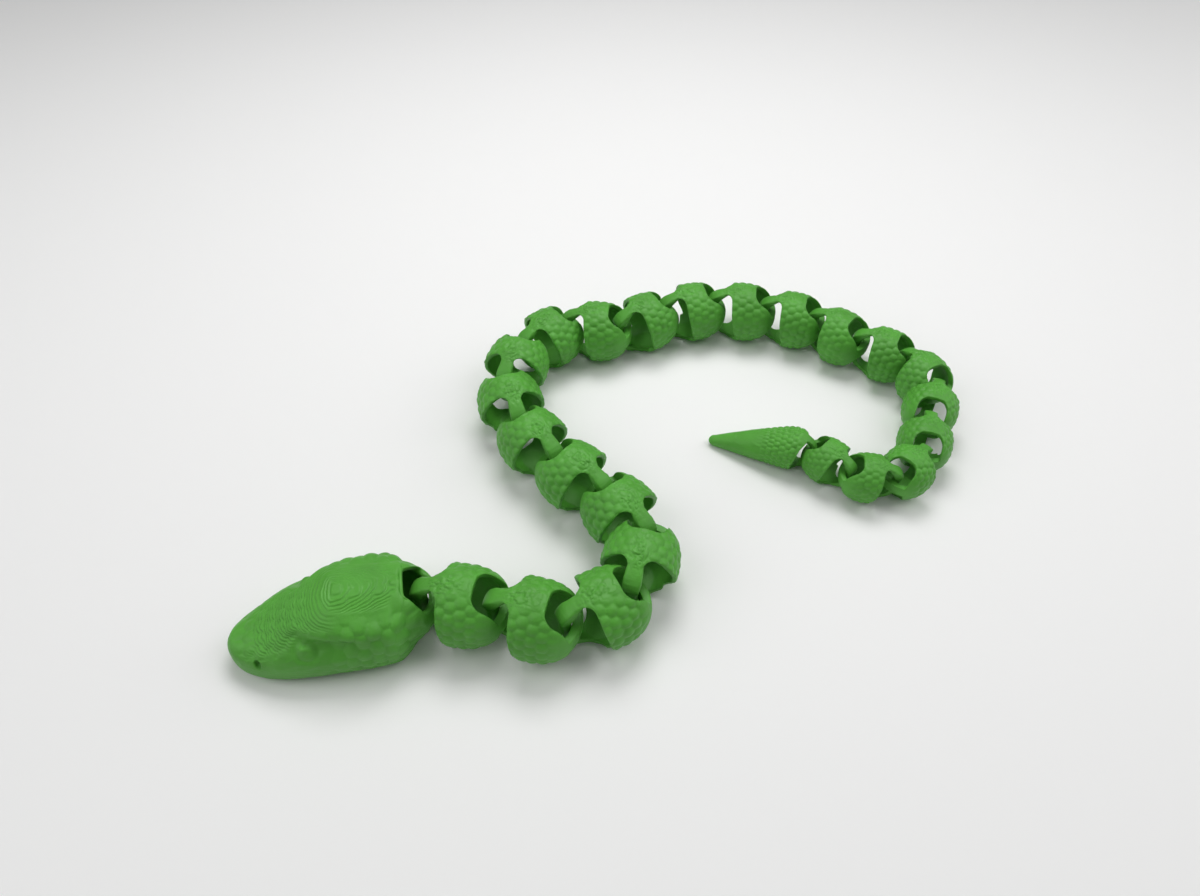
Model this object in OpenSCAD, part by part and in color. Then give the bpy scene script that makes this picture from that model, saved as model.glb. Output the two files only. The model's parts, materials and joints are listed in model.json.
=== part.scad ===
// Articulated snake toy, printed in place as one loose chain: a head, hollow
// body links hooked through each other, and a tail. All sizes in millimetres.
//
// Each link is a thin hollow barrel. Its front third is cut away at the sides,
// which leaves an upright hoop with a round post at its tip. Its rear third is
// cut away above and below, which leaves a level hoop with a bar at its end.
// The bar passes through the upright hoop behind the next link's post, so the
// post turns inside the level hoop and the chain bends from side to side.
//
// X runs from the snout to the neck, Z is up, and the origin is on the flat
// underside of the head, below the middle of the skull.

/* [Body] */
// Largest outside diameter of the first link
body_d = 27; // [24:0.5:32]
// Distance between the two hinge lines of a full-size link
pitch = 23.5; // [21:0.5:30]
// Fullness of the barrel outline, where 2 is a plain ellipse
fullness = 2.3; // [2.2:0.1:3]
// Thickness of the barrel wall
wall = 2; // [1.2:0.1:2.8]
// Height lost where the round underside is cut flat
flat_cut = 1.1; // [0.6:0.1:2]
// Thickness of the floor above the flat underside
floor_wall = 2; // [1.2:0.1:3]

/* [Taper] */
// Links from the neck over which the body stays nearly full
full_links = 14; // [6:1:20]
// Size of the last nearly full link, as a share of the first
waist_scale = 0.94; // [0.9:0.01:1]
// Size of the tail's root, as a share of the first link
tail_scale = 0.64; // [0.6:0.01:0.9]

/* [Hoops] */
// Thickness of both hoops at their tips
hoop_wall = 2.8; // [2:0.1:3.6]
// Width of the upright hoop
tongue_w = 5.5; // [4:0.1:6.5]
// Radius by which the upright hoop flares into the barrel
tongue_fillet = 6; // [3:0.1:8]
// Height of the side windows
window_h = 22.8; // [21:0.1:23]
// Length of the side windows, from the front tip to their rear edge at mid height
window_len = 12.5; // [11.5:0.1:14]
// Radius of the window corners
window_corner = 6; // [2:0.1:7]
// Lean of the window's rear edge, its foot towards the tail, degrees
window_lean = 12; // [0:1:20]
// Height of the bar at the end of the level hoop
bar_h = 5.6; // [4:0.1:6.5]
// Width of the notches above and below the level hoop
notch_w = 13.6; // [12:0.1:16]
// Length of the upper notch, from the rear end
notch_len = 10.4; // [9:0.1:13]
// Length of the lower notch, from the rear end
floor_notch_len = 7.4; // [7:0.1:10]
// Radius of the inner corners of the notches
notch_corner = 4; // [2:0.1:6]

/* [Hinge] */
// Diameter of the round post that the next link turns on
post_d = 4.7; // [3.6:0.1:5.2]
// Running gap between the post and the middle of the bar behind it
post_gap = 0.55; // [0.4:0.05:0.8]
// Free height above and below the bar, where the post is round
bar_gap = 1.2; // [0.6:0.1:2]

/* [Head] */
// Length from the tip of the snout to the first hinge line
head_len = 60.5; // [50:0.5:75]
// Largest width of the head
head_w = 36; // [33:0.5:44]
// Largest height of the head
head_h = 27.5; // [26:0.5:32]
// Fullness of the skull's cross section, where 2 is a plain oval
skull_fullness = 2.3; // [2:0.1:3]
// Depth of the hollow below the brow, in which the eye sits
socket_depth = 1.6; // [0.5:0.1:2.5]
// Width of the notches at the back of the head
head_notch_w = 18; // [14:0.5:20]
// Length of the upper one of them, from the rear end
head_notch_len = 9.2; // [8:0.1:12]
// Diameter of a nostril
nostril_d = 2.2; // [1:0.1:4]
// Depth of a nostril
nostril_depth = 1.6; // [0.8:0.1:3]
// Diameter of an eye
eye_d = 5.2; // [4:0.1:8]
// Height of an eye above the socket
eye_rise = 0.5; // [0.3:0.1:1.5]

/* [Tail] */
// Length of the tail from its hinge line to its tip
tail_len = 40; // [32:0.5:60]
// Radius of the rounded tip
tail_tip_r = 2.2; // [1.5:0.1:3]

/* [Hidden] */
// Side-to-side bend of each joint in the resting pose, from the neck to the
// tail, in degrees. A positive bend turns the rest of the chain to its left.
BENDS = [
    -21, -5, 40, 49, 53, 12, -11, -20, -35, -34, -45, 35,
    -18, -20, -9, -22, 10, -34, -51, 5, -29, -52, -37, 29
];
joint_count = len(BENDS);
link_count = joint_count - 1;

function link_name(i) = str("link_", i < 10 ? "0" : "", i);

$fn = 64;
skin = [0.28, 0.62, 0.21];
// A hair, which keeps faces from falling together
EPS = 0.01;

// The barrel of a full-size link, with its front hinge line at x = 0
body_r = body_d / 2;
axis_z = body_r - flat_cut;
front_x = -hoop_wall / 2;
rear_x = pitch + post_d / 2 + post_gap + hoop_wall;
barrel_x = (front_x + rear_x) / 2;
barrel_a = (rear_x - front_x) / 2;
outline_steps = 24;
arc_steps = 12;
end_flat_r = 0.5;

// The neck hinge line, measured from the middle of the skull
skull_x = 0.45;
neck_x = head_len * skull_x;
snout_x = neck_x - head_len;

// Size of joint i and of the piece behind it, where 1 is the first link
function scale_at(i) =
    i <= full_links
        ? 1 - (1 - waist_scale) * (i - 1) / (full_links - 1)
        : waist_scale - (waist_scale - tail_scale) * (i - full_links) / (joint_count - full_links);

// Heading and hinge point of piece i in the resting pose
function heading_at(i) = i == 0 ? 0 : heading_at(i - 1) + BENDS[i - 1];
function hinge_at(i) =
    i == 1
        ? [neck_x, 0]
        : hinge_at(i - 1) + pitch * scale_at(i - 1) * [cos(heading_at(i - 1)), sin(heading_at(i - 1))];

// Half thickness at x of a closed outline of half length a and half height b
function outline_at(x, middle, a, b) =
    let (share = min(1, abs((x - middle) / a)))
    b * pow(1 - pow(share, fullness), 1 / fullness);
function barrel_r(x) = outline_at(x, barrel_x, barrel_a, body_r);

// A round body of that outline, lying along X on the barrel's axis, with a
// small flat at each end
module barrel(a, b) {
    points = [
        for (i = [0:outline_steps])
            let (turn = 180 * i / outline_steps)
            [
                max(b * pow(abs(sin(turn)), 2 / fullness), end_flat_r),
                -sign(cos(turn)) * a * pow(abs(cos(turn)), 2 / fullness)
            ]
    ];
    translate([barrel_x, 0, 0]) rotate([0, 90, 0]) rotate_extrude()
        polygon(concat([[0, -a]], points, [[0, a]]));
}

// Everything above a level plane, wide enough for any piece
module above(z) {
    reach = head_len + tail_len + body_d;
    translate([-reach, -reach, z]) cube([2 * reach, 2 * reach, 2 * body_d + head_h]);
}

module hollow() {
    intersection() {
        barrel(barrel_a - hoop_wall, body_r - wall);
        above(floor_wall - axis_z);
    }
}

// Plan of the upright hoop, flared where the windows end behind it
module tongue_plan(end_x) {
    square([4 * pitch, tongue_w], center = true);
    difference() {
        translate([end_x - tongue_fillet, -tongue_w / 2 - tongue_fillet])
            square([2 * tongue_fillet, tongue_w + 2 * tongue_fillet]);
        for (side = [-1, 1])
            translate([end_x - tongue_fillet, side * (tongue_w / 2 + tongue_fillet)])
                circle(r = tongue_fillet);
    }
}

// Side view of a window: open to the front and through the floor, with a
// rounded upper corner and a straight rear edge that leans
module window_outline() {
    top_z = window_h / 2;
    foot_z = -body_r;
    mid_x = front_x + window_len;
    round_z = top_z - window_corner;
    round_x = mid_x - round_z * tan(window_lean) - window_corner / cos(window_lean);
    polygon(concat(
        [[front_x - body_r, top_z]],
        [
            for (i = [0:arc_steps])
                let (turn = 90 + (window_lean - 90) * i / arc_steps)
                [round_x + window_corner * cos(turn), round_z + window_corner * sin(turn)]
        ],
        [[mid_x - foot_z * tan(window_lean), foot_z], [front_x - body_r, foot_z]]
    ));
}

// A slab through both sides, clear of the upright hoop
module side_windows() {
    difference() {
        rotate([90, 0, 0]) linear_extrude(height = 2 * body_d, center = true) window_outline();
        linear_extrude(height = 3 * body_d, center = true) tongue_plan(front_x + window_len);
    }
}

// Plan of a slot of width w, open to the rear, with rounded inner corners
module notch_plan(w, length, corner) {
    deep_x = rear_x - length;
    translate([deep_x + corner, -w / 2]) square([body_d, w]);
    if (w > 2 * corner)
        translate([deep_x, -w / 2 + corner]) square([body_d, w - 2 * corner]);
    for (side = [-1, 1])
        translate([deep_x + corner, side * (w / 2 - corner)]) circle(r = corner);
}

// Slots through the top and the bottom at the rear, clear of the bar
module end_notches(w, length) {
    height = body_d + head_h;
    translate([0, 0, bar_h / 2])
        linear_extrude(height = height) notch_plan(w, length, notch_corner);
    translate([0, 0, -bar_h / 2 - height])
        linear_extrude(height = height) notch_plan(w, floor_notch_len, notch_corner);
}

// The hoop's front post is round where the bar passes it
module post_relief() {
    height = bar_h + 2 * bar_gap;
    difference() {
        translate([front_x - body_d, -body_r, -height / 2])
            cube([body_d + pitch / 4, body_d, height]);
        cylinder(d = post_d, h = 2 * height, center = true);
    }
}

module post() {
    height = window_h - 2 * wall;
    cylinder(d = post_d, h = height, center = true);
}

// The upright hoop, cut out of whatever shell it belongs to
module front_hoop_cuts() {
    side_windows();
    post_relief();
}

module body_link() {
    difference() {
        intersection() {
            barrel(barrel_a, body_r);
            above(-axis_z);
        }
        difference() {
            hollow();
            post();
        }
        front_hoop_cuts();
        end_notches(notch_w, notch_len);
    }
}

// Smooth curve through the rows of a table, row[0] against row[column]
function slope(table, i, column) =
    let (low = max(i - 1, 0), high = min(i + 1, len(table) - 1))
    (table[high][column] - table[low][column]) / (table[high][0] - table[low][0]);
function row_below(table, x, i = 0) =
    i >= len(table) - 2 || x < table[i + 1][0] ? i : row_below(table, x, i + 1);
function curve_at(table, x, column) =
    let (
        i = row_below(table, x),
        span = table[i + 1][0] - table[i][0],
        u = min(max((x - table[i][0]) / span, 0), 1)
    )
    table[i][column] * (1 + 2 * u) * pow(1 - u, 2)
    + slope(table, i, column) * span * u * pow(1 - u, 2)
    + table[i + 1][column] * u * u * (3 - 2 * u)
    + slope(table, i + 1, column) * span * u * u * (u - 1);

// Share from 0 to 1 as x goes from low to high, with soft ends
function soft_step(x, low, high) =
    let (u = min(max((x - low) / (high - low), 0), 1)) u * u * (3 - 2 * u);

// A closed oval section at x, cut flat at the floor
function oval(x, half_w, level, top, bottom, power, sides) = [
    for (i = [0:sides - 1])
        let (
            turn = 360 * (i + 0.5) / sides,
            reach = sin(turn) > 0 ? top - level : level - bottom,
            y = half_w * sign(cos(turn)) * pow(abs(cos(turn)), 2 / power),
            z = level + reach * sign(sin(turn)) * pow(abs(sin(turn)), 2 / power)
        )
        [x, y, max(z, 0)]
];

// A solid through a row of sections that all have the same number of points
module loft(sections) {
    sides = len(sections[0]);
    last = len(sections) - 1;
    polyhedron(
        points = [for (section = sections) each section],
        faces = [
            [for (j = [0:sides - 1]) j],
            for (i = [0:last - 1], j = [0:sides - 1])
                let (a = i * sides + j, b = i * sides + (j + 1) % sides)
                each [[a, a + sides, b], [b, a + sides, b + sides]],
            [for (j = [sides - 1:-1:0]) last * sides + j]
        ]
    );
}

// Head outline: share of the way from snout to hinge line, then half width
// as a share of half the head's width, then top as a share of its height
HEAD_OUTLINE = [
    [0, 0.16, 0.30],
    [0.025, 0.32, 0.37],
    [0.09, 0.53, 0.42],
    [0.21, 0.74, 0.53],
    [0.37, 0.88, 0.74],
    [0.54, 0.96, 0.94],
    [0.70, 1, 1],
    [0.85, 0.97, 0.99],
    [1, 0.76, 0.96]
];
// Height of the widest level of the skull, as a share of its top
cheek_level = 0.42;
// How far below the floor the round of the underside would reach
chin_drop = 4;
// The hollow below the brow: share of the way from the snout to the hinge line
// and height, then how far it spreads along the head and up its side
socket_share = 0.5;
socket_z = 17;
socket_long = 11;
socket_high = 3.4;
// Stretch ahead of the hinge line over which the skull becomes the barrel
nape_start = 8;
nape_end = 1;
// How far short of its pole the nape's barrel ends, which leaves a small flat
rear_trim = 0.15;
head_sections = 30;
head_sides = 36;

function head_section(x) =
    let (
        share = (x + head_len) / head_len,
        nape = soft_step(x, -nape_start, -nape_end),
        r = barrel_r(min(x + pitch, rear_x - rear_trim)),
        half_w = (1 - nape) * curve_at(HEAD_OUTLINE, share, 1) * head_w / 2 + nape * r,
        top = (1 - nape) * curve_at(HEAD_OUTLINE, share, 2) * head_h + nape * (axis_z + r),
        level = (1 - nape) * cheek_level * top + nape * axis_z,
        bottom = -(1 - nape) * chin_drop + nape * (axis_z - r),
        section = oval(x, half_w, level, top, bottom, 2 + (skull_fullness - 2) * (1 - nape), head_sides)
    )
    [for (p = section) [p.x, p.y - sign(p.y) * min(socket_at(p.x, p.z), abs(p.y) / 2), p.z]];

// Depth of the hollow below the brow at a place on the head's side
function socket_at(x, z) =
    let (
        along = (x - head_len * (socket_share - 1)) / socket_long,
        up = (z - socket_z) / socket_high
    )
    socket_depth * exp(-along * along - up * up);

// Places a pair of features, mirrored, on the sides of the head
module both_sides() {
    for (side = [0, 1]) mirror([0, side, 0]) children();
}

// Middle of an eye and of a nostril: share of the way from the snout to the
// hinge line, and height above the floor
eye_share = 0.43;
eye_z = 16;
nostril_share = 0.17;
nostril_z = 9.5;
// Half width of the head at a height, from its own section
function head_side_at(share, z) =
    let (
        half_w = curve_at(HEAD_OUTLINE, share, 1) * head_w / 2,
        top = curve_at(HEAD_OUTLINE, share, 2) * head_h,
        level = cheek_level * top,
        rise = min(abs(z - level) / (z > level ? top - level : level + chin_drop), 1)
    )
    half_w * pow(1 - pow(rise, skull_fullness), 1 / skull_fullness)
    - socket_at(head_len * (share - 1), z);

module eye() {
    translate([
        head_len * (eye_share - 1),
        head_side_at(eye_share, eye_z) + eye_rise - eye_d / 2,
        eye_z
    ])
        sphere(d = eye_d, $fn = 48);
}

module nostril() {
    translate([head_len * (nostril_share - 1), head_side_at(nostril_share, nostril_z), nostril_z])
        rotate([90, 0, 0])
            cylinder(d = nostril_d, h = 2 * nostril_depth, center = true, $fn = 32);
}

// Drawn with the neck's hinge line at the origin and the floor at z = 0
module head_body() {
    rear = rear_x - pitch;
    difference() {
        loft([
            for (i = [0:head_sections])
                head_section(-head_len + (head_len + rear) * (1 - cos(180 * i / head_sections)) / 2)
        ]);
        translate([-pitch, 0, axis_z]) {
            hollow();
            end_notches(head_notch_w, head_notch_len);
        }
        both_sides() nostril();
    }
    intersection() {
        both_sides() eye();
        above(0);
    }
}

// The tail is a link's front as far as its widest point, and then a cone with
// a rounded tip, lying on its flat underside all the way
tail_root_r = body_r * tail_scale;
tail_belly_x = barrel_x * tail_scale;
tail_curve = 1.15;
tail_sections = 26;
tail_sides = 32;

function tail_r(x) =
    let (share = min((x - tail_belly_x) / (tail_len - tail_tip_r - tail_belly_x), 1))
    x < tail_belly_x
        ? tail_scale * barrel_r(x / tail_scale)
        : tail_tip_r + (tail_root_r - tail_tip_r) * (1 - pow(share, tail_curve));

// Share of that radius left in the rounded tip
function tip_round(x) =
    let (short = max(1 - (tail_len - x) / tail_tip_r, 0))
    sqrt(1 - short * short);

function tail_section(x) =
    let (
        r = tail_r(x) * tip_round(x),
        level = tail_r(max(x, tail_belly_x)) * axis_z / body_r
    )
    oval(x, r, level, level + r, level - r, 2, tail_sides);

module tail_body() {
    first_x = front_x * tail_scale + EPS;
    last_x = tail_len - EPS;
    difference() {
        loft([
            for (i = [0:tail_sections])
                tail_section(first_x + (last_x - first_x) * (1 - cos(180 * i / tail_sections)) / 2)
        ]);
        translate([0, 0, axis_z * tail_scale]) scale(tail_scale) {
            difference() {
                hollow();
                post();
            }
            front_hoop_cuts();
        }
    }
}

// Stands piece i at its place in the resting pose
module in_place(i) {
    hinge = hinge_at(i);
    translate([hinge.x, hinge.y, 0]) rotate([0, 0, heading_at(i)]) children();
}

module head() {
    color(skin) translate([neck_x, 0, 0]) head_body();
}

module link(i) {
    size = scale_at(i);
    color(skin) in_place(i) translate([0, 0, axis_z * size]) scale(size) body_link();
}

module tail() {
    color(skin) in_place(joint_count) tail_body();
}

head();
for (i = [1:link_count])
    link(i);
tail();
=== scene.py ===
"""Looks of the articulated snake toy: green printed plastic with scales and layer lines,
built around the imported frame. Lengths in the mesh work are millimetres, as the toy was drawn."""
import json
import math

import bpy
import numpy as np
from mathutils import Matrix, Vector


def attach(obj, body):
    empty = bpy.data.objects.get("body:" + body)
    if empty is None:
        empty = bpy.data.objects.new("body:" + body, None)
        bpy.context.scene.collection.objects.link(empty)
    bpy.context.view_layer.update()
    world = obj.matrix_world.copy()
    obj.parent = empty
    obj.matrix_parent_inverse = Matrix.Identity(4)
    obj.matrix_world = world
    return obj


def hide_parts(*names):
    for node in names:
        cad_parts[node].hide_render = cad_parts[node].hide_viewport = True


MM = 0.001
LINKS = 23
LAYER = 0.28            # height of one printed layer
LINK_VOXEL = 0.34       # edge length of the small faces of a full-size link
HEAD_VOXEL = 0.24
TAIL_VOXEL = 0.25
EVENING_ROUNDS = 4      # rounds of smoothing that take the steps out of a fine mesh


# Numbers that repeat from run to run

def grid_value(ix, iy, iz, seed):
    """A repeatable value from 0 to 1 for each whole-number grid point."""
    mixed = (ix * 374761393 + iy * 668265263 + iz * 2147483647 + seed * 974711) & 0xFFFFFFFF
    mixed = ((mixed ^ (mixed >> 13)) * 1274126177) & 0xFFFFFFFF
    return ((mixed ^ (mixed >> 16)) & 0xFFFF) / 65535


def noise(points, size, seed):
    """Smooth noise from -1 to 1, with bumps about size apart."""
    scaled = points / size
    cell = np.floor(scaled).astype(np.int64)
    share = scaled - cell
    share = share * share * (3 - 2 * share)
    total = np.zeros(len(points))
    for corner in range(8):
        step = np.array([corner & 1, corner >> 1 & 1, corner >> 2 & 1])
        weight = np.prod(np.where(step == 1, share, 1 - share), axis=1)
        total += weight * grid_value(*(cell + step).T, seed)
    return 2 * total - 1


def soft_step(x, low, high):
    """0 below low, 1 above high, and a smooth rise between."""
    u = np.clip((x - low) / (high - low), 0, 1)
    return u * u * (3 - 2 * u)


def soft_fall(x, low, high):
    """1 below low, 0 above high, and a smooth fall between."""
    return soft_step(-x, -high, -low)


def soft_range(x, start, full, fade, end):
    """Rises from start to full, stays 1, and falls from fade to end."""
    return soft_step(x, start, full) * soft_fall(x, fade, end)


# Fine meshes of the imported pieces

def points_of(mesh):
    co = np.empty(len(mesh.vertices) * 3)
    mesh.vertices.foreach_get("co", co)
    return co.reshape(-1, 3)


def put_points(mesh, points):
    mesh.vertices.foreach_set("co", np.ascontiguousarray(points, dtype=np.float32).ravel())
    mesh.update()


def normals_of(mesh):
    normals = np.empty(len(mesh.vertices) * 3, np.float32)
    mesh.vertex_normals.foreach_get("vector", normals)
    return normals.reshape(-1, 3).astype(float)


def edges_of(mesh):
    edges = np.empty(len(mesh.edges) * 2, np.int32)
    mesh.edges.foreach_get("vertices", edges)
    return edges.reshape(-1, 2)


def smoothed(points, edges, rounds):
    """Each round moves every point half of the way to the middle of its neighbours."""
    count = np.bincount(edges.ravel(), minlength=len(points))[:, None]
    for _ in range(rounds):
        total = np.zeros_like(points)
        for axis in range(3):
            total[:, axis] += np.bincount(edges[:, 0], points[edges[:, 1], axis], len(points))
            total[:, axis] += np.bincount(edges[:, 1], points[edges[:, 0], axis], len(points))
        points = points + 0.5 * (total / count - points)
    return points


def partly_smoothed(points, edges, rounds, weight):
    """Smooths fully where weight is 1 and not at all where it is 0."""
    return points + weight[:, None] * (smoothed(points, edges, rounds) - points)


def fine_mesh(node, to_local, voxel):
    """The node's solid as an even net of small faces, in its own millimetre frame."""
    coarse = frame["nodes"][node].data.copy()
    put_points(coarse, to_local(points_of(coarse)))
    worker = bpy.data.objects.new("worker", coarse)
    bpy.context.scene.collection.objects.link(worker)
    remesh = worker.modifiers.new("voxels", "REMESH")
    remesh.mode = "VOXEL"
    remesh.voxel_size = voxel
    evaluated = worker.evaluated_get(bpy.context.evaluated_depsgraph_get())
    mesh = bpy.data.meshes.new_from_object(evaluated)
    bpy.data.objects.remove(worker)
    bpy.data.meshes.remove(coarse)
    put_points(mesh, smoothed(points_of(mesh), edges_of(mesh), EVENING_ROUNDS))
    return mesh


def hinge_at(index):
    """Place of joint number index (from 1), in millimetres."""
    return np.array(frame["joints"][index - 1]["pos_m"]) / MM


def turned(points, angle):
    """Points turned about the upright axis."""
    c, s = math.cos(angle), math.sin(angle)
    return points @ np.array([[c, s, 0], [-s, c, 0], [0, 0, 1]])


def piece_from(mesh, name, points, body):
    """A visible piece with the given points in millimetres, which replaces the body's node."""
    put_points(mesh, points * MM)
    mesh.shade_smooth()
    piece = bpy.data.objects.new(name, mesh)
    bpy.context.scene.collection.objects.link(piece)
    mesh.materials.clear()
    mesh.materials.append(plastic)
    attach(piece, body)
    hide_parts(body)


# Surface relief, cut inwards

SOFTNESS = 22           # how soon one pillow gives way to the next
GROOVE = 0.24           # depth of the grooves between pillows, in the same terms
DEEPEST = 1.3           # limit of the depth where three grooves meet
NUDGE = 0.16            # how far a pillow strays from its place, as a share of the gap


def pillows(along, around, gap, seed):
    """Depth below soft pillows in a hexagonal net: 0 on their crests, 1 in the grooves."""
    column_gap = gap * math.sqrt(3) / 2
    column = np.floor(along / column_gap).astype(np.int64)
    closeness = np.zeros(len(along))
    for step_u in (-1, 0, 1, 2):
        this_column = column + step_u
        shift = 0.5 * (this_column % 2)
        row = np.floor(around / gap - shift).astype(np.int64)
        for step_v in (0, 1):
            this_row = row + step_v
            nudge_u = NUDGE * (grid_value(this_column, this_row, 0, seed) - 0.5)
            nudge_v = NUDGE * (grid_value(this_column, this_row, 1, seed) - 0.5)
            du = (along / column_gap - this_column - nudge_u) * column_gap / gap
            dv = around / gap - this_row - shift - nudge_v
            closeness += np.exp(-SOFTNESS * (du * du + dv * dv))
    return np.clip(-np.log(np.maximum(closeness, 1e-9)) / SOFTNESS / GROOVE, 0, DEEPEST)


def waver(points, size, depth, seed):
    """A slow unevenness of the skin, up to twice the depth."""
    return depth * (1 + noise(points, size, seed))


def stepped(points, layer, strength):
    """Drops each point towards the top of the printed layer below it."""
    height = points[:, 2] / layer
    share = height - np.floor(height)
    step = soft_step(share, 0.55, 0.95)
    dropped = points.copy()
    dropped[:, 2] -= layer * (share - step).clip(0) * strength
    return dropped


def outward(points, normals, axis_z):
    """How far each normal points away from the lengthwise axis, from -1 to 1."""
    radius = np.maximum(np.hypot(points[:, 1], points[:, 2] - axis_z), 0.1)
    return (normals[:, 1] * points[:, 1] + normals[:, 2] * (points[:, 2] - axis_z)) / radius


# The links, with x running back from a link's own hinge and z up from its axis

STRIP_SQUEEZE = 0.36    # share by which the strip between the windows narrows at its root
WALL_FORWARD = 1.0      # how far the windows' rear edges come forward
TIP_LENGTH = 3.2        # length over which the lift of the hook's tip dies out
TIP_LIFT = 1.6          # the tip goes up by this much, and ahead by as much
TIP_WIDER = 0.12        # share by which the hook is wider than the solid's
SHOULDER_ROUNDS = 30    # rounds of smoothing where the hook leaves the barrel
SLICES = 50             # places along the barrel at which its radius is taken
SCALE_ROWS = 21         # scales round the barrel
LINK_SCALES = 0.50      # depth between a link's scales
PATCH_X = 10            # middle of the rough patch on the crown
PATCH_LENGTH = 5
PATCH_WIDTH = 3.4
SCRIBBLES = 0.65        # depth of the lines in that patch
LINK_WAVER = 0.06


def rounder_windows(points):
    """Rounds the corners of a link's windows, and draws the tip of its hook up and out."""
    x, y, z = points.T
    radius = np.hypot(y, z)
    angle = np.arctan2(y, z)
    arc = np.abs(angle) * radius.max()
    top = soft_step(z, -8, -2)
    squeeze = STRIP_SQUEEZE * soft_range(x, 4.4, 7.4, 8.2, 12) * soft_fall(arc, 8, 16) * top
    forward = WALL_FORWARD * soft_step(arc, 8, 13) * soft_range(x, 5, 8, 12, 19) * top
    from_tip = np.clip((x - x.min()) / TIP_LENGTH, 0, None)
    lift = TIP_LIFT * np.exp(-from_tip ** 1.6) * soft_step(z, 1.5, 5)
    wider = 1 + TIP_WIDER * soft_fall(x, 4.2, 5.8) * soft_step(z, 4, 7)
    angle = angle * (1 - squeeze)
    height = radius * np.cos(angle) + lift
    return np.column_stack([x - forward - lift, wider * radius * np.sin(angle), height])


def barrel_outline(x, radius):
    """The largest radius of the piece near each x."""
    slices = np.linspace(x.min(), x.max(), SLICES)
    place = np.digitize(x, slices)
    reach = [radius[place == k].max(initial=0) for k in range(SLICES)]
    return np.interp(x, slices - (slices[1] - slices[0]) / 2, reach)


def make_links():
    """All links are the first one, sized along the taper, each with scales and scribbles of its own."""
    first = hinge_at(1)
    span = hinge_at(2) - first
    pitch = math.hypot(span[0], span[1])
    heading = math.atan2(span[1], span[0])
    base = fine_mesh("link_01", lambda p: turned(p / MM - first, -heading), LINK_VOXEL)
    shape = rounder_windows(points_of(base))
    shoulder = soft_range(shape[:, 0], 1, 3, 7, 10) * soft_step(shape[:, 2], 6, 8)
    shape = partly_smoothed(shape, edges_of(base), SHOULDER_ROUNDS, shoulder)
    put_points(base, shape)
    normals = normals_of(base)

    x, y, z = shape.T
    radius = np.hypot(y, z)
    around = np.arctan2(y, z) * radius.max()
    gap = 2 * math.pi * radius.max() / SCALE_ROWS
    upness = z / np.maximum(radius, 0.1)
    below_outline = barrel_outline(x, radius) - radius
    skin = soft_fall(below_outline, 0.4, 1.0) * soft_step(outward(shape, normals, 0), 0.15, 0.6)
    ends = soft_range(x, x.min() + 3, x.min() + 10, x.max() - 10, x.max() - 3)
    scaly = skin * ends * (1 - 0.5 * soft_step(upness, 0.85, 0.98))
    patch = np.exp(-((x - PATCH_X) / PATCH_LENGTH) ** 2 - (y / PATCH_WIDTH) ** 2)
    patch *= soft_step(z, 8, 10) * skin
    level = soft_step(normals[:, 2], 0.955, 0.985)

    for i in range(1, LINKS + 1):
        here = hinge_at(i)
        step = hinge_at(i + 1) - here
        size = math.hypot(step[0], step[1]) / pitch
        scribble = 1 - 3 * np.abs(noise(shape * [1, 1.3, 1], 1.5, seed=80 + i))
        depth = LINK_SCALES * pillows(x + 1.1, around, gap, seed=i) * scaly
        depth += waver(shape, 2.2, LINK_WAVER, seed=40 + i) * skin
        depth += SCRIBBLES * np.clip(scribble, 0, None) * patch
        local = (shape - normals * depth[:, None]) * size
        local[:, 2] += here[2]
        local = stepped(local, LAYER, level)
        world = turned(local, math.atan2(step[1], step[0])) + [here[0], here[1], 0]
        piece_from(base.copy(), f"printed_link_{i:02d}", world, f"link_{i:02d}")


# The head, with x running back and z up from the floor

NOTCH_EDGE = math.radians(46)       # where the nape's notch has its edges, from straight up
NOTCH_INWARD = math.radians(16)     # how far they are drawn in
TOP_ROUNDS = 60         # rounds of smoothing over the top
CROWN_X = 2.3           # the highest point of the skull
FRONT_REACH = 12        # this far ahead of that point
FRONT_FALL = 3.4        # the top has fallen by this much
NAPE_FALL = 1.7         # fall from that point to the neck
SIDE_FALL = 0.024       # fall for each square millimetre to the side
EASE = 0.2              # how softly the lowered crown meets the rest
HOLLOW_X = -0.5         # middle of the hollow under the brow
HOLLOW_Z = 18.6
HOLLOW_LENGTH = 10
HOLLOW_ABOVE = 1.5      # the hollow ends soon above its middle, which leaves the brow's edge
HOLLOW_BELOW = 3.4
HOLLOW_DEPTH = 2.1
EYE_X = -7.3
EYE_Z = 16.0
EYE_STRETCH = 1.25      # length of the eye for its height
MOAT_RADIUS = 2.7       # the groove round the eye
MOAT_WIDTH = 0.7
MOAT_DEPTH = 0.35
CHEEK_AXIS_Z = 13.5     # the cheek's scales lie in arcs about a line at this height
CHEEK_START = 1.31      # turn from straight up at which the arcs start
CHEEK_GAP = 4.5         # distance between the cheek's scales along the head
CHEEK_PACKING = 0.78    # below 1, the scales are taller than they are long
CHEEK_SCALES = 0.62
SNOUT_GAP = 4.2
SNOUT_SCALES = 0.30
HEAD_WAVER = 0.08
RING_STRENGTH = 2.2     # of the layer rings on the nearly level crown
SNOUT_STRENGTH = 1.1    # of the layer lines on the steeper snout, two layers at a time


def narrower_notch(points, axis_z):
    """Draws the edges of the nape's notch in towards the hoop that it holds."""
    x, y, z = points.T
    radius = np.hypot(y, z - axis_z)
    angle = np.arctan2(y, z - axis_z)
    turn = np.abs(angle)
    nape = soft_step(x, 20, 26) * soft_step(radius, 5, 8)
    inward = NOTCH_INWARD * nape * soft_range(turn, 0.15, NOTCH_EDGE, NOTCH_EDGE, 2.0)
    angle = np.sign(angle) * (turn - inward)
    return np.column_stack([x, radius * np.sin(angle), axis_z + radius * np.cos(angle)])


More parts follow.
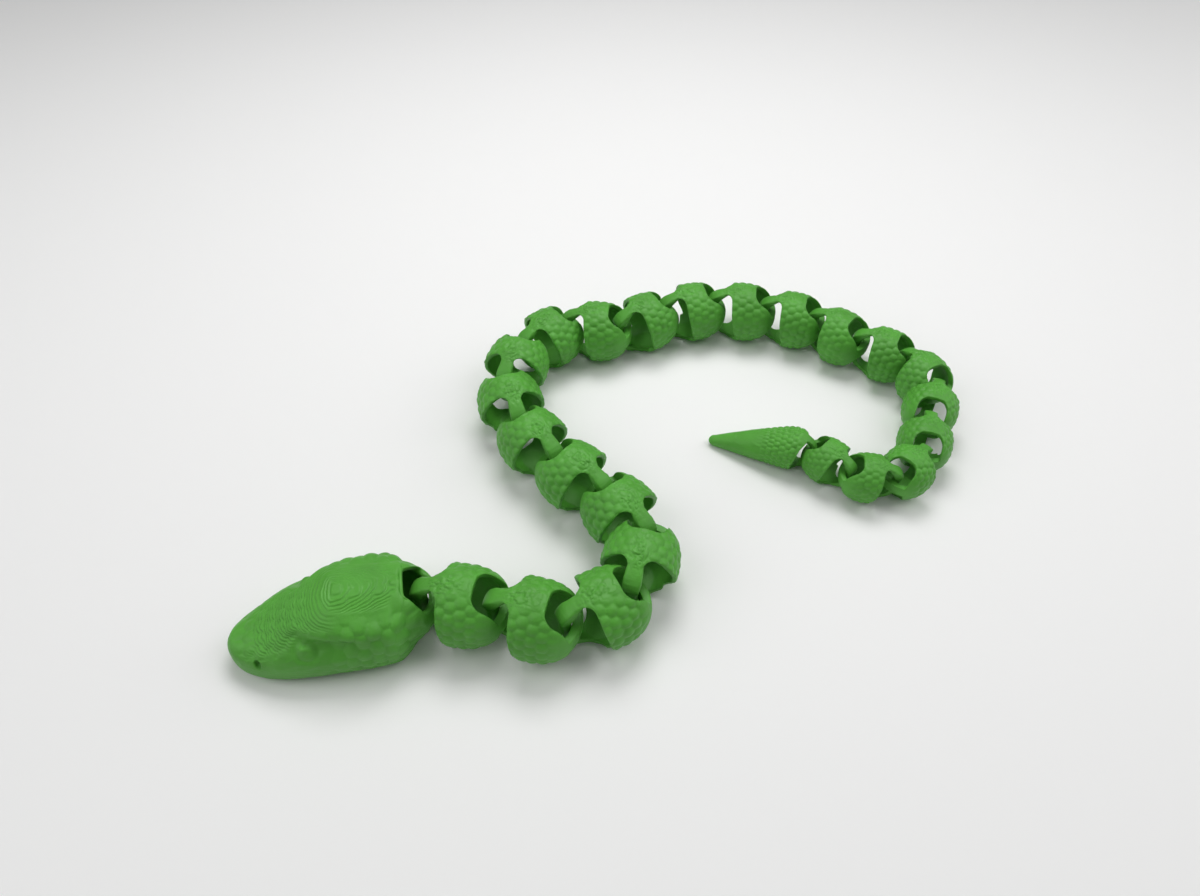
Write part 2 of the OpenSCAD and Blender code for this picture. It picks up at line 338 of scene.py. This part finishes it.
def crown_drop(points, skin, neck_x):
    """How far the top is lowered, so that it falls away all round the crown's highest point."""
    x, y, z = points.T
    side = np.abs(y)
    crown_z = z[(side < 1) & (np.abs(x - CROWN_X) < 1)].max()
    ahead = np.clip((CROWN_X - x) / FRONT_REACH, 0, None)
    behind = soft_step(x, CROWN_X, neck_x - 5)
    ceiling = crown_z - FRONT_FALL * ahead ** 1.5 - NAPE_FALL * behind - SIDE_FALL * y * y
    ceiling += 0.10 * noise(points, 5.0, seed=3) + 0.08 * noise(points, 2.6, seed=4)
    over = (z - ceiling) * soft_fall(side, 9, 17) * skin * soft_step(z, 16, 20)
    lowered = 0.5 * (over + np.sqrt(over * over + EASE * EASE)) - EASE / 2
    return np.clip(lowered, 0, None)


def brow_depth(x, z):
    """The brow stands out over a hollow, and the eye is a low dome in that hollow."""
    reach_z = np.where(z > HOLLOW_Z, HOLLOW_ABOVE, HOLLOW_BELOW)
    hollow = np.exp(-((x - HOLLOW_X) / HOLLOW_LENGTH) ** 2 - ((z - HOLLOW_Z) / reach_z) ** 2)
    from_eye = np.hypot((x - EYE_X) / EYE_STRETCH, z - EYE_Z)
    hollow *= 0.45 + 0.55 * soft_step(from_eye, 0.9, 2.4)
    moat = np.exp(-((from_eye - MOAT_RADIUS) / MOAT_WIDTH) ** 2)
    return HOLLOW_DEPTH * hollow + MOAT_DEPTH * moat


def cheek_depth(points, upness, neck_x):
    """Round scales on the cheeks, which fade out towards the eye, the top and the floor."""
    x, y, z = points.T
    side = np.abs(y)
    turn = np.arctan2(side, z - CHEEK_AXIS_Z)
    around = (turn - CHEEK_START) * np.hypot(side, z - CHEEK_AXIS_Z) - CHEEK_GAP
    cheek = soft_range(x, -9, 11, neck_x - 2, neck_x + 2) * soft_step(z, 2, 6)
    cheek *= 1 - 0.85 * soft_step(upness, 0.74, 0.94)
    return CHEEK_SCALES * pillows(x - 10, CHEEK_PACKING * around, CHEEK_GAP, seed=7) * cheek


def make_head():
    neck = hinge_at(1)
    mesh = fine_mesh("head", lambda p: p / MM, HEAD_VOXEL)
    shape = narrower_notch(points_of(mesh), neck[2])
    top = soft_step(shape[:, 2], 12, 17)
    shape = partly_smoothed(shape, edges_of(mesh), TOP_ROUNDS, top)
    put_points(mesh, shape)
    normals = normals_of(mesh)
    upness = normals[:, 2]
    skin = soft_step(outward(shape, normals, neck[2]), 0.1, 0.5)
    shape[:, 2] -= crown_drop(shape, skin, neck[0])

    x, y, z = shape.T
    snout = soft_range(x, -33, -28, -8, -2) * soft_step(upness, 0.55, 0.8)
    depth = brow_depth(x, z) * skin * soft_step(np.abs(y), 6, 9)
    depth += cheek_depth(shape, upness, neck[0]) * skin
    depth += SNOUT_SCALES * pillows(x, y, SNOUT_GAP, seed=9) * snout
    depth += waver(shape, 2.4, HEAD_WAVER, seed=5) * skin
    shape = shape - normals * depth[:, None]

    gentle = soft_step(upness, 0.93, 0.97)
    steep = soft_step(upness, 0.70, 0.82) * (1 - gentle) * soft_fall(shape[:, 0], -6, 6)
    shape = stepped(shape, LAYER, RING_STRENGTH * gentle * skin)
    shape = stepped(shape, 2 * LAYER, SNOUT_STRENGTH * steep * skin)
    piece_from(mesh, "printed_head", shape, "head")


# The tail

TAIL_SCALES = 0.4
TAIL_GAP = 2.5          # distance between the tail's scales
TAIL_WAVER = 0.05
STREAKS = 0.07          # depth of the long streaks towards the tip


def make_tail():
    root = hinge_at(LINKS + 1)
    mesh = fine_mesh("tail", lambda p: p / MM, TAIL_VOXEL)
    shape = points_of(mesh)
    normals = normals_of(mesh)
    middle = shape.mean(axis=0)
    heading = math.atan2(middle[1] - root[1], middle[0] - root[0])
    local = turned(shape - [root[0], root[1], 0], -heading)
    skin = soft_step(outward(local, turned(normals, -heading), root[2]), 0.1, 0.5)
    x, y, z = local.T
    around = np.arctan2(y, z - root[2]) * y.max()
    scaly = soft_range(x, 3, 8, 15, 24)
    depth = TAIL_SCALES * pillows(x + 0.7, around, TAIL_GAP, seed=31) * scaly
    depth += waver(local, 2.0, TAIL_WAVER, seed=33)
    depth += STREAKS * (1 + noise(local / [9, 2.4, 1], 0.8, seed=35) * soft_step(x, 10, 20))
    piece_from(mesh, "printed_tail", shape - normals * (depth * skin)[:, None], "tail")


# Materials, with noise scales in bumps per metre

PLASTIC = (0.328, 0.628, 0.216)     # colour as a screen shows it
DARKER = 0.95           # share of that colour in its dark clouds
LIGHTER = 1.04
PLASTIC_SHINE = 0.35
GLOSSIEST = 0.40        # least and greatest roughness
DULLEST = 0.55
STRAND_HEIGHT = 0.00010
GRAIN_HEIGHT = 0.00006
FLOOR = (0.9, 0.9, 0.895, 1)


def linear(channel):
    """A screen colour's channel as light."""
    return channel / 12.92 if channel <= 0.04045 else ((channel + 0.055) / 1.055) ** 2.4


def noise_node(nodes, links, where, scale, detail, stretch=(1, 1, 1)):
    """A noise texture in metres, with its coordinates stretched along each axis."""
    mapping = nodes.new("ShaderNodeMapping")
    mapping.inputs["Scale"].default_value = stretch
    texture = nodes.new("ShaderNodeTexNoise")
    texture.inputs["Scale"].default_value = scale
    texture.inputs["Detail"].default_value = detail
    links.new(where.outputs["Object"], mapping.inputs["Vector"])
    links.new(mapping.outputs["Vector"], texture.inputs["Vector"])
    return texture


def bump_node(nodes, links, texture, height, below=None):
    """A bump of the texture, on top of the bump below where there is one."""
    bump = nodes.new("ShaderNodeBump")
    bump.inputs["Strength"].default_value = 1
    bump.inputs["Distance"].default_value = height
    links.new(texture.outputs["Fac"], bump.inputs["Height"])
    if below:
        links.new(below.outputs["Normal"], bump.inputs["Normal"])
    return bump


def plastic_material():
    """Green plastic laid down in level strands: cloudy colour, fine grain and layer lines."""
    material = bpy.data.materials.new("green_plastic")
    material.use_nodes = True
    nodes, links = material.node_tree.nodes, material.node_tree.links
    shader = nodes["Principled BSDF"]
    shader.inputs["Specular IOR Level"].default_value = PLASTIC_SHINE
    where = nodes.new("ShaderNodeTexCoord")

    cloud = noise_node(nodes, links, where, scale=90, detail=4)
    ramp = nodes.new("ShaderNodeValToRGB")
    ramp.color_ramp.elements[0].position = 0.3
    ramp.color_ramp.elements[1].position = 0.7
    ramp.color_ramp.elements[0].color = (*(linear(c * DARKER) for c in PLASTIC), 1)
    ramp.color_ramp.elements[1].color = (*(linear(c * LIGHTER) for c in PLASTIC), 1)
    links.new(cloud.outputs["Fac"], ramp.inputs["Fac"])
    links.new(ramp.outputs["Color"], shader.inputs["Base Color"])

    patches = noise_node(nodes, links, where, scale=400, detail=2)
    gloss = nodes.new("ShaderNodeMapRange")
    gloss.inputs["To Min"].default_value = GLOSSIEST
    gloss.inputs["To Max"].default_value = DULLEST
    links.new(patches.outputs["Fac"], gloss.inputs["Value"])
    links.new(gloss.outputs["Result"], shader.inputs["Roughness"])

    strands = noise_node(nodes, links, where, scale=120, detail=2, stretch=(1, 1, 14))
    grain = noise_node(nodes, links, where, scale=1100, detail=2)
    lines = bump_node(nodes, links, strands, STRAND_HEIGHT)
    skin = bump_node(nodes, links, grain, GRAIN_HEIGHT, lines)
    links.new(skin.outputs["Normal"], shader.inputs["Normal"])
    return material


def floor_material():
    material = bpy.data.materials.new("backdrop")
    material.use_nodes = True
    shader = material.node_tree.nodes["Principled BSDF"]
    shader.inputs["Base Color"].default_value = FLOOR
    shader.inputs["Roughness"].default_value = 0.7
    return material


# Stage, light and camera, in metres

MIDDLE = (0.10, 0, 0)               # where the room's lamps point
ROOM_LIGHT = 0.175                  # strength of the even light from all round
LAMPS = (                           # name, place, aim, size and watts
    ("overhead", (0.10, -0.05, 1.1), MIDDLE, (1.6, 1.3), 1.0),
    ("left", (-0.9, 0, 0.9), MIDDLE, (0.8, 1.2), 5.2),
    ("right", (1.1, 0, 0.9), MIDDLE, (0.8, 1.2), 5.9),
    ("key", (0.18, 0.33, 0.6), (0.05, -0.05, 0), (0.4, 0.3), 2.2),
)
CAMERA_PLACE = (0.0562, -0.1385, 0.2343)
CAMERA_HEADING = math.radians(11.96)    # turn to the right of +Y
CAMERA_DIP = math.radians(48.93)        # below the horizon
FOCAL_PIXELS = 793
PHOTO_WIDTH = 1200                      # pixels


def make_stage():
    bpy.ops.mesh.primitive_plane_add(size=6, location=(0.1, 0.2, 0))
    floor = bpy.context.object
    floor.name = "floor"
    floor.data.materials.append(floor_material())


def area_light(name, place, aim, size, power):
    light = bpy.data.lights.new(name, "AREA")
    light.shape = "RECTANGLE"
    light.size, light.size_y = size
    light.energy = power
    lamp = bpy.data.objects.new(name, light)
    bpy.context.scene.collection.objects.link(lamp)
    lamp.location = place
    lamp.rotation_euler = (Vector(aim) - Vector(place)).to_track_quat("-Z", "Y").to_euler()


def make_light():
    world = bpy.data.worlds.new("room")
    bpy.context.scene.world = world
    world.use_nodes = True
    background = world.node_tree.nodes["Background"]
    background.inputs["Color"].default_value = (1, 1, 1, 1)
    background.inputs["Strength"].default_value = ROOM_LIGHT
    for lamp in LAMPS:
        area_light(*lamp)
    bpy.context.scene.view_settings.view_transform = "Standard"


def make_camera():
    camera = bpy.data.cameras.new("camera")
    camera.sensor_width = 36
    camera.sensor_fit = "HORIZONTAL"
    camera.lens = camera.sensor_width * FOCAL_PIXELS / PHOTO_WIDTH
    camera.clip_start = 0.01
    eye = bpy.data.objects.new("camera", camera)
    bpy.context.scene.collection.objects.link(eye)
    eye.location = CAMERA_PLACE
    eye.rotation_euler = (math.pi / 2 - CAMERA_DIP, 0, -CAMERA_HEADING)
    bpy.context.scene.camera = eye


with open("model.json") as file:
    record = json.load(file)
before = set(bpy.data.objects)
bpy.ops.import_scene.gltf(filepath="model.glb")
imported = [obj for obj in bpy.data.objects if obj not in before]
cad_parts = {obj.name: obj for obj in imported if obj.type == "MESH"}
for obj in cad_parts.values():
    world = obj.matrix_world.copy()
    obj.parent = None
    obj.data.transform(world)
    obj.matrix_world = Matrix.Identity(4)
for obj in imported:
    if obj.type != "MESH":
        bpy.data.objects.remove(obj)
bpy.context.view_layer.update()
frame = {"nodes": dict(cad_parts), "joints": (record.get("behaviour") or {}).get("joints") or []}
plastic = plastic_material()
make_camera()
make_stage()
make_light()
make_links()
make_head()
make_tail()
